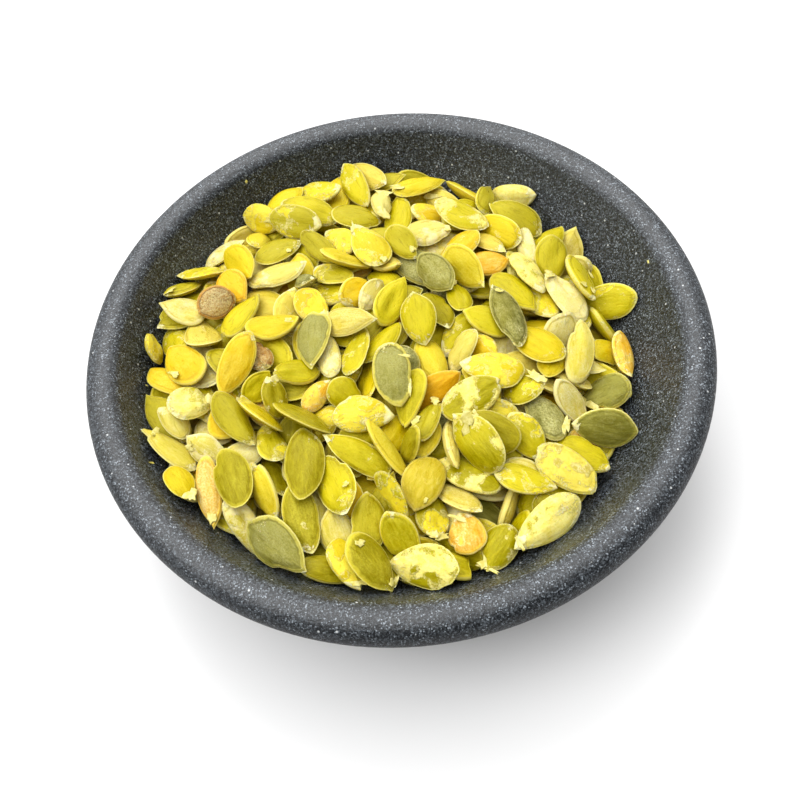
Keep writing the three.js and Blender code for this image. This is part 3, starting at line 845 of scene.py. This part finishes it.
# Seeds that lie on top of the heap: kind, then x and y of the middle and the way its point lies (degrees, 0
# at +X, 90 at +Y), length and width, how far it is rolled on its side (degrees), and its layer, from 0 up.
ON_TOP = (
    # far side
    ("olive", 5, 50.5, 10, 13, 7, 10, 0), ("green", -12, 50.5, -10, 13, 7.5, 0, 0),
    ("tan", 20, 46, -25, 13, 7.5, 0, 0), ("yellow", -23, 48, 20, 12, 7, 0, 0),
    ("yellow", -25, 46, -75, 12, 8, 0, 1), ("yellow", -31, 36, -80, 8.5, 6.5, 0, 2),
    ("cream", -39, 37, 60, 12, 7, 20, 0), ("olive", -20.5, 44, -15, 14, 9, 0, 2),
    ("green", -14, 46, -82, 16, 8.5, 0, 1), ("green", -8, 48, -65, 16, 7, 55, 2),
    ("tan", -2, 51, 2, 14.5, 7.5, 10, 3), ("yellow", 12, 49, -8, 15, 7, 45, 2),
    ("cream", -1, 41.5, -25, 10, 5.5, 0, 2), ("green", 6.5, 40, 90, 14, 8, 0, 0),
    ("olive", -6, 37, 25, 13, 9, 0, 1), ("yellow", -4, 25, 110, 14.5, 9, 0, 3),
    ("yellow", -9, 29, 85, 11, 7, 0, 1), ("olive", -14, 27, -75, 13, 6, 30, 2),
    ("cream", 11, 31, 30, 12, 9, 0, 1), ("gold", 12, 38, 20, 11, 8, 0, 0),
    ("gold", 13, 25, -60, 12.5, 8, 0, 2), ("olive", 5, 27, -70, 11, 7, 25, 2),
    ("olive", 2, 31, 5, 13, 8, 0, 0), ("patchy", 18, 33, -35, 15.5, 8.5, 0, 3),
    ("olive", 25, 43, 110, 13, 6, 20, 1), ("green", 19, 38, 60, 12, 8, 0, 0),
    ("yellow", 29, 32.5, 158, 15, 8.5, 0, 2), ("olive", 36, 35, 135, 15.5, 9, 10, 1),
    ("olive", 41.5, 20.5, -75, 12.5, 8.5, 0, 2), ("amber", 25, 21, 172, 14, 8, 0, 2),
    ("tan", 27, 26, -40, 13, 6, 40, 1), ("cream", 38, 26, -75, 12, 5, 60, 1),
    ("green", 41, 27, 80, 11, 7, 0, 0),
    # far middle
    ("olive", -53, 24, 180, 11.5, 7, 0, 1), ("green", -45, 27, 190, 12.5, 9, 0, 2),
    ("brown", -42, 16.5, 200, 10, 8.5, 0, 3), ("amber", -36, 21, -70, 10.5, 8.5, 0, 2),
    ("yellow", -35, 28, -70, 12, 8, 0, 1), ("cream", -25, 22, 32, 15.5, 7.8, 0, 3),
    ("olive", -22, 29, 10, 13, 8, 0, 0), ("cream", -51, 14.5, 165, 11.5, 8, 0, 2),
    ("tan", -45.5, 6.5, 112, 15, 9, 0, 1), ("green", -36.5, 10, 60, 14, 7.8, 0, 2),
    ("yellow", -28, 4.5, 10, 12.5, 8, 0, 2), ("brown", -34, 0, 165, 9.5, 6.5, 0, 2),
    ("yellow", -29, 11.5, 100, 8.5, 6.5, 0, 1), ("tan", -24, 12, 80, 12, 8, 0, 1),
    ("yellow", -54, 6, 100, 9.5, 8, 0, 0), ("green", -26, -2.5, 165, 11, 7, 0, 1),
    ("gold", -17.7, 11.5, -60, 12, 8, 0, 1), ("tan", -10.5, 5, -18, 13.5, 8, 0, 3),
    ("dusky", -16.5, 16, -25, 9, 5.5, 20, 2), ("yellow", -11.5, 21, -18, 13, 6.5, 30, 2),
    ("gold", -9.5, 15, 25, 10, 7.5, 0, 1), ("cream", -6.8, 13.5, -120, 10.5, 6, 30, 2),
    ("green", -1.8, 11.5, 93, 15, 7.5, 40, 3), ("tan", 2, 17.5, -75, 11, 6, 20, 0),
    ("dusky", 7, 15.5, -62, 13.5, 8.5, 0, 2), ("green", 5.5, 7.5, -56, 13.5, 8.8, 0, 3),
    ("yellow", 14, 13, -50, 14, 9, 0, 2), ("olive", 12.5, 6, -40, 13, 8, 0, 0),
    ("olive", -1.6, 4, 30, 11, 6.5, 0, 1), ("dusky", 25, 6, 123, 17, 7.2, 25, 3),
    ("green", 28, 9.5, -55, 14.5, 8.8, 0, 1), ("patchy", 34.5, 14, -62, 15, 8.8, 0, 3),
    ("green", 49.5, 13.5, -55, 15, 8.8, 0, 3), ("cream", 44.5, 10.5, 100, 15, 8.5, 0, 2),
    ("green", 38, 9, 80, 11, 8, 0, 0), ("cream", 38, 1.5, -45, 12.5, 8.5, 0, 1),
    ("green", 17, 7.5, 70, 11, 6, 30, 0), ("green", 17, 3.5, 172, 12, 8, 0, 1),
    ("yellow", 19, -4.5, -120, 14.5, 10, 0, 3), ("cream", 12, -3.5, -70, 12, 6.5, 20, 1),
    # middle
    ("sage", -17, 1, -95, 15.5, 8.8, 0, 3), ("cream", -22.5, -0.5, 85, 14, 6, 30, 1),
    ("green", -6, -3, 70, 15, 7, 60, 2), ("green", -2.5, -1.5, 54, 14, 7, 0, 1),
    ("sage", 0, -10, -88, 16.5, 9.3, 0, 3), ("dusky", 7.3, -5.3, -40, 9, 6, 0, 0),
    ("amber", 9, -11.5, 75, 14, 7, 20, 2), ("yellow", 33, -3.5, 130, 14, 9.5, 0, 2),
    ("cream", 43.5, -7, 86, 18, 7, 0, 3),
    ("green", 50, 3, 80, 11, 7, 0, 0), ("gold", 24.5, -4.5, -60, 9, 6, 0, 0),
    ("yellow", 22.5, -10, -60, 12, 8, 0, 1), ("green", 31.2, -11.5, -30, 10.5, 8.8, 0, 3),
    ("yellow", 37, -10, 20, 10, 7, 0, 1), ("cream", 46, -11, -60, 11, 6, 0, 0),
    ("gold", -40.3, -2, -88, 16, 7.8, 0, 3), ("gold", -51, -1, 140, 15, 9.2, 0, 3),
    ("patchy", -49.5, -12, 10, 11.5, 8.8, 0, 3), ("cream", -52, -12.5, 130, 11, 6, 50, 1),
    ("cream", -49.5, -19, 123, 16, 7, 60, 2), ("gold", -42, -15, 60, 12.5, 9.2, 0, 2),
    ("olive", -35.5, -18.5, -86, 17, 6.8, 15, 3), ("yellow", -29, -13, 150, 14, 9.8, 0, 2),
    ("green", -35, -6, 80, 9, 6.5, 0, 0), ("olive", -31, -6, 20, 10, 6, 0, 0),
    ("green", -29.5, -23.5, 95, 12.5, 7, 0, 2), ("cream", -27.5, -29, 80, 11, 7.5, 0, 1),
    ("cream", -44, -22, -40, 12, 7, 0, 1), ("cream", -39, -23.5, 160, 9, 7, 0, 1),
    ("amber", -15, -9.5, -10, 9.5, 5.5, 0, 1), ("green", -9.5, -13, -50, 9, 7.5, 0, 1),
    ("olive", -17.5, -16, 132, 15.5, 9.6, 0, 3), ("yellow", -8, -18, 40, 13.5, 9, 0, 1),
    ("green", -8.5, -26, 132, 16.5, 7, 35, 2), ("yellow", -2, -26, 128, 16.5, 4.9, 62, 3),
    ("green", 4.5, -14.5, -123, 15, 7.5, 35, 2), ("olive", 5.5, -20, 95, 11.5, 6, 20, 2),
    ("olive", 2, -26.5, -75, 11, 6, 30, 2), ("tan", 6.5, -27, 72, 17, 4.9, 50, 3),
    ("patchy", 14, -17.5, 58, 15, 9.3, 0, 3), ("yellow", 24, -18.5, 125, 15.5, 8.8, 0, 2),
    ("dusky", 33, -22, 118, 13.5, 8, 0, 2), ("cream", 37.5, -17, -60, 13, 7, 0, 1),
    ("sage", 45, -15, -80, 12, 8.5, 0, 1), ("sage", 42, -25, 155, 14.5, 9.2, 0, 3),
    # near middle
    ("green", 38.5, -31, -70, 13, 8, 0, 0), ("tan", 32.5, -34, -68, 17, 9.3, 0, 3),
    ("olive", 18, -27, 135, 14, 9.3, 0, 3), ("green", 23, -28.5, -52, 15, 7, 45, 1),
    ("green", 28, -27, -35, 12.5, 8, 0, 2), ("cream", 24.5, -34, -52, 11, 6, 50, 1),
    ("green", 22.5, -37, -28, 13.5, 7, 30, 3), ("patchy", 11.5, -32, 128, 15.5, 9.8, 0, 3),
    ("patchy", 16, -39.5, 168, 15.5, 8.5, 0, 2), ("tan", 13, -43.5, -18, 13.5, 7, 0, 1),
    ("amber", 7.5, -45, 5, 9.5, 8.5, 0, 3), ("tan", 5, -37, -115, 14, 9.5, 0, 2),
    ("green", -1, -38.5, -65, 14, 7.5, 0, 3), ("green", -4, -46, -80, 12.5, 8, 0, 3),
    ("olive", -9.5, -41, 60, 13, 8, 0, 2), ("gold", -14, -38, 100, 10, 8, 0, 1),
    ("cream", -15.5, -44, 80, 11, 8, 0, 1), ("green", -12.5, -31.5, -50, 16, 9.3, 0, 2),
    ("olive", -21.5, -30.5, -82, 18, 9.2, 0, 3), ("olive", -25.5, -40, -65, 17, 8, 0, 1),
    ("sage", -29, -45, -48, 16.5, 9.8, 0, 3), ("olive", -35.5, -31, -58, 15, 8.8, 0, 3),
    ("cream", -38.5, -36, -62, 14, 6, 55, 1), ("yellow", -35.5, -41, -68, 14.5, 6.5, 60, 2),
    ("amber", -42.5, -29, -65, 16, 6, 50, 2), ("yellow", -46, -27.5, -48, 9.5, 6.2, 0, 2),
    ("yellow", -31, -33, -65, 14, 6.5, 40, 1), ("olive", 3, -46.5, -80, 10.5, 8, 0, 1),
    ("olive", -5, -36.5, 80, 12, 6, 0, 0),
    # near side
    ("olive", -12.5, -50, -75, 14, 9.4, 0, 3), ("olive", -6.5, -50.5, -50, 14, 7.5, 0, 1),
    ("tan", -9.5, -55, 10, 12, 6.5, 10, 0), ("yellow", -19.5, -50, -35, 12, 7.5, 0, 1),
    ("olive", -20, -52, -20, 14, 6, 45, 0), ("patchy", 1.5, -53, 160, 15.5, 9.5, 0, 3),
    ("patchy", 13, -50.5, 75, 11.5, 8, 0, 2), ("patchy", 21, -48.5, 232, 17.5, 8.3, 0, 3),
    ("green", 26, -49, 230, 12, 7, 20, 1), ("olive", 31, -44, -70, 9, 6, 0, 0),
    ("tan", 22.5, -42.5, 80, 11, 5.5, 50, 0), ("green", 7.5, -54, 20, 12, 8, 0, 1),
)

# Specks of skin on the bowl's wall
ON_WALL = ((56.5, 36), (-58, -2), (-55, -24), (60, 12), (-33, 52))


def make_heap():
    """The core and all the seeds over it."""
    random = np.random.default_rng(RANDOM_SEED)
    core = core_shape()
    add_piece("heap_core", make_mesh("heap_core", *core), core_finish(), "seed_heap")

    fixed = [turn(bowl_section(), BODY_SECTORS), core]
    under_sizes = draw_sizes(random, SEEDS_POURED)
    under = pour(random, fixed, under_sizes)
    top_sizes, top, top_kinds = lay(random, fixed, (under_sizes, under), ON_TOP)
    names = list(KINDS)
    shares = np.array([share for share, *_ in KINDS.values()])
    under_kinds = random.choice(len(names), len(under), p=shares / shares.sum())
    kinds = np.concatenate([under_kinds, [names.index(kind) for kind in top_kinds]])
    sizes, poses = np.concatenate([under_sizes, top_sizes]), face_up(np.concatenate([under, top]))
    tones = random.random((len(sizes), 4))
    # Painted light: the first tone rises towards the far side and falls towards the near side, so far seeds
    # are painted paler as if lit more.
    tones[:, 0] += FAR_PAINTED_LIGHT * poses[:, 1, 3] / RIM_RADIUS
    inside = np.hypot(poses[:, 0, 3], poses[:, 1, 3]) < RIM_RADIUS - HEAP_MARGIN
    kept = inside & (poses[:, 2, 3] > FLOOR_HEIGHT)
    shaped = shape_seeds(random, sizes[kept], poses[kept], tones[kept])
    for number, (kind, (_, *skin)) in enumerate(KINDS.items()):
        name = "seeds_" + kind
        make_seeds(name, skin_finish(name, *skin), shaped, kinds[kept] == number)
    make_flakes(random, flake_finish(), top_sizes, poses[len(under):], FLAKES, ON_WALL)


# ---------- floor, light and camera
FLOOR_REACH = 4000.0


def make_floor():
    """A pale level floor that fills every view. It throws less light on the bowl than it shows."""
    corners = np.array([[-1, -1, 0], [1, -1, 0], [1, 1, 0], [-1, 1, 0]]) * FLOOR_REACH
    floor = link("floor", make_mesh("floor", corners, [[0, 1, 2, 3]]))
    f = Finish("pale_floor")
    colour = f.mix(f.add("LightPath", "Is Camera Ray"), (0.3,) * 3, (0.8,) * 3)
    floor.data.materials.append(f.finish(Base_Color=colour, Roughness=0.9))


# Soft round lights: degrees above level, the way they lie (degrees, 0 at +X, 90 at +Y), degrees from the
# middle to the edge, and strength. Two are windows, at -X and at +Y, and the side at -Y is the darkest.
SOFT_LIGHTS = (
    (50, 192, 20, 5.6), (55, 98, 16, 7.0), (90, 0, 40, 2.3),
    (52, 0, 48, 0.3), (52, 60, 48, 0.4), (52, 120, 48, 0.5), (52, 180, 48, 1.0), (52, 240, 48, 0.3),
    (18, 45, 48, 0.5), (18, 90, 48, 1.2), (18, 135, 48, 0.6),
)


def make_light():
    """A world of wide soft lights that run into each other, which the camera sees as plain white."""
    world = bpy.data.worlds.new("soft_studio")
    bpy.context.scene.world = world
    world.use_nodes = True
    w = Nodes(world.node_tree)
    place = w.add("TexCoord", "Generated")
    total = 0.0
    for elevation, way, reach, strength in SOFT_LIGHTS:
        elevation, way = math.radians(elevation), math.radians(way)
        level = math.cos(elevation)
        toward = (level * math.cos(way), level * math.sin(way), math.sin(elevation))
        near = w.add("VectorMath", "Value", {0: place, 1: toward}, operation="DOT_PRODUCT")
        total = w.sum("ADD", total, w.step(near, math.cos(math.radians(reach)), 1.0, 0.0, strength))
    shown = w.add("Mix", 0, {0: w.add("LightPath", "Is Camera Ray"), 2: total, 3: 1.0})
    background = world.node_tree.nodes["Background"].inputs
    w.feed(background["Color"], (1, 1, 1))
    w.feed(background["Strength"], shown)


CAMERA_SENSOR = 36
CAMERA_FOCUS = 1.125  # focal length, in widths of the sensor
CAMERA_DISTANCE = 189.5
CAMERA_ELEVATION = 59.14
CAMERA_ROLL = -6.82
CAMERA_AIM = (-0.87, -19.2)  # on the level of the lip


def make_camera():
    """A camera that looks steeply down from the near side, turned a little about its own axis."""
    elevation, roll = math.radians(CAMERA_ELEVATION), math.radians(CAMERA_ROLL)
    back = np.array([0, -math.cos(elevation), math.sin(elevation)])
    right = np.array([1.0, 0, 0])
    up = np.cross(back, right)
    across = math.cos(roll) * right + math.sin(roll) * up
    upward = -math.sin(roll) * right + math.cos(roll) * up
    place = np.array([*CAMERA_AIM, BOWL_HEIGHT]) + CAMERA_DISTANCE * back
    matrix = np.eye(4)
    matrix[:3] = np.stack([across, upward, back, place * MM], 1)
    camera = link("camera", bpy.data.cameras.new("camera"))
    camera.data.sensor_width = CAMERA_SENSOR
    camera.data.lens = CAMERA_SENSOR * CAMERA_FOCUS
    camera.data.clip_start, camera.data.clip_end = 0.01, 20
    camera.matrix_world = Matrix(matrix.tolist())
    bpy.context.scene.camera = camera


make_floor()
make_light()
make_camera()
bpy.context.scene.view_settings.view_transform = "Standard"
make_bowl()
make_heap()
